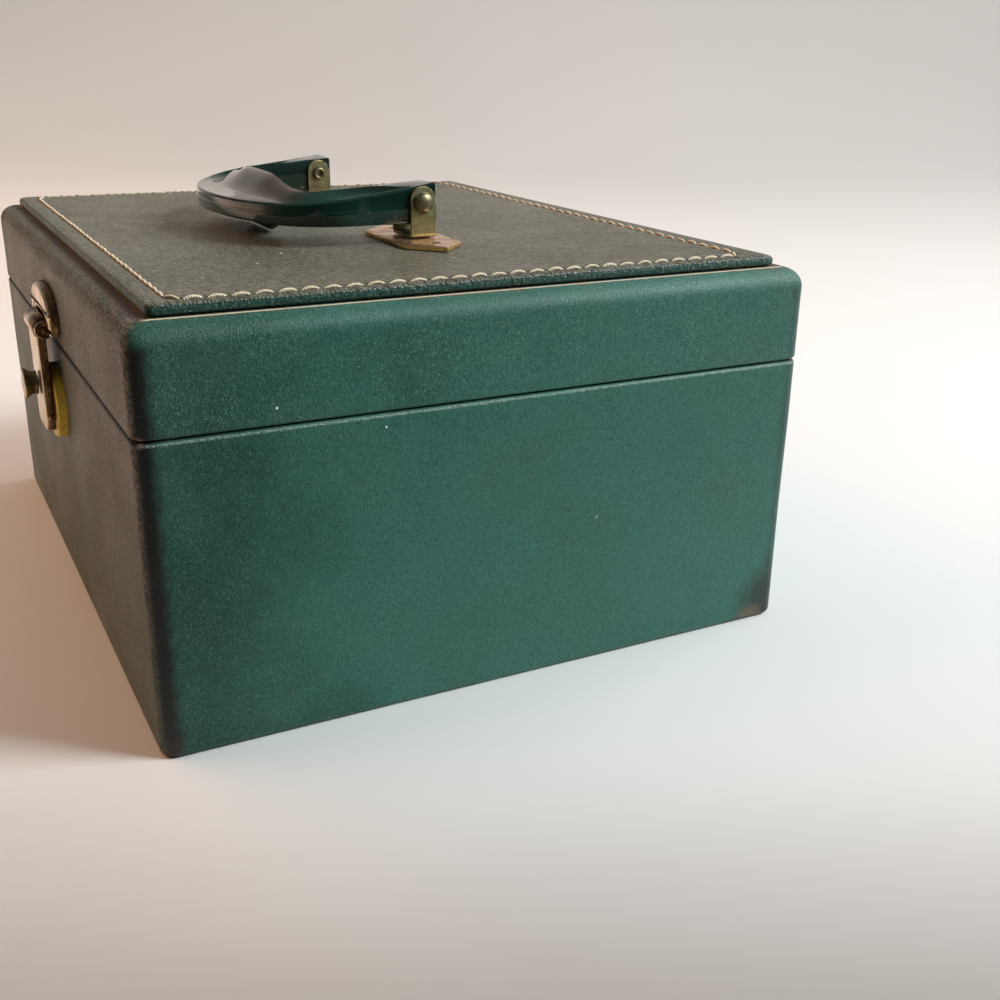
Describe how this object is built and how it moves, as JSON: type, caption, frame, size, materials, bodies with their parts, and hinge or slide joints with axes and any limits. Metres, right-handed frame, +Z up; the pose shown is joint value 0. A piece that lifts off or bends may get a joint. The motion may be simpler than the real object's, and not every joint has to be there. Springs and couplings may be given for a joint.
{
  "type": "jewelry case",
  "caption": "Rectangular leatherette jewelry case with a stitched raised lid panel, folding handle, brass hasp with turning knob, rear hinges and a lift-out tray.",
  "frame": {"origin": "middle of the underside, on the surface that the case stands on", "axes": "+X along the front, to the right for someone who faces the lock; -Y is the lock side and +Y the hinge side; +Z up"},
  "size_m": [0.25, 0.2277, 0.1406],
  "materials": {
    "leatherette": "green grained leatherette, satin",
    "board": "raw pasteboard and thin wood",
    "bottom_paper": "dark green bookcloth",
    "velvet": "short pile velvet",
    "satin": "padded satin",
    "ribbon": "woven ribbon",
    "brass": "aged, partly polished",
    "handle_plastic": "dark green moulded, glossy"
  },
  "bodies": {
    "base": {"base_carcass": "board", "base_covering": "leatherette", "base_bottom_sheet": "bottom_paper", "floor_lining": "velvet", "inner_collar": "velvet", "tray_ledge_left": "velvet", "tray_ledge_right": "velvet", "lock_body": "brass", "hinge_base_leaf_left": "brass", "hinge_base_leaf_right": "brass", "hinge_pin_left": "brass", "hinge_pin_right": "brass"},
    "lid": {"lid_carcass": "board", "lid_covering": "leatherette", "lid_panel": "leatherette", "lid_lining": "satin", "hinge_lid_leaf_left": "brass", "hinge_lid_leaf_right": "brass", "hasp_plate": "brass", "hasp_pin": "brass", "bracket_plate_left": "brass", "bracket_plate_right": "brass", "bracket_strap_left": "brass", "bracket_strap_right": "brass", "handle_rivet_left": "brass", "handle_rivet_right": "brass"},
    "handle": {"handle_grip": "handle_plastic"},
    "hasp": {"hasp_leaf": "brass"},
    "knob": {"knob": "brass", "cam": "brass"},
    "tray": {"tray": "velvet", "tray_dividers": "velvet", "ring_rolls": "velvet", "tray_tab_front": "ribbon", "tray_tab_back": "ribbon"}
  },
  "joints": [
    {"name": "lid_hinge", "type": "hinge", "parent": "base", "child": "lid", "pos_m": [0, 0.1068, 0.0894], "axis": [-1, 0, 0], "range_deg": [0, 100]},
    {"name": "handle_pivot", "type": "hinge", "parent": "lid", "child": "handle", "pos_m": [0, 0.004, 0.1345], "axis": [-1, 0, 0], "range_deg": [0, 185]},
    {"name": "hasp_hinge", "type": "hinge", "parent": "lid", "child": "hasp", "pos_m": [0, -0.1079, 0.0946], "axis": [-1, 0, 0], "range_deg": [0, 145]},
    {"name": "knob_turn", "type": "hinge", "parent": "hasp", "child": "knob", "pos_m": [0, -0.1102, 0.075], "axis": [0, -1, 0], "range_deg": [0, 90]},
    {"name": "tray_lift", "type": "slide", "parent": "base", "child": "tray", "axis": [0, 0, 1], "range_m": [0, 0.014]}
  ]
}
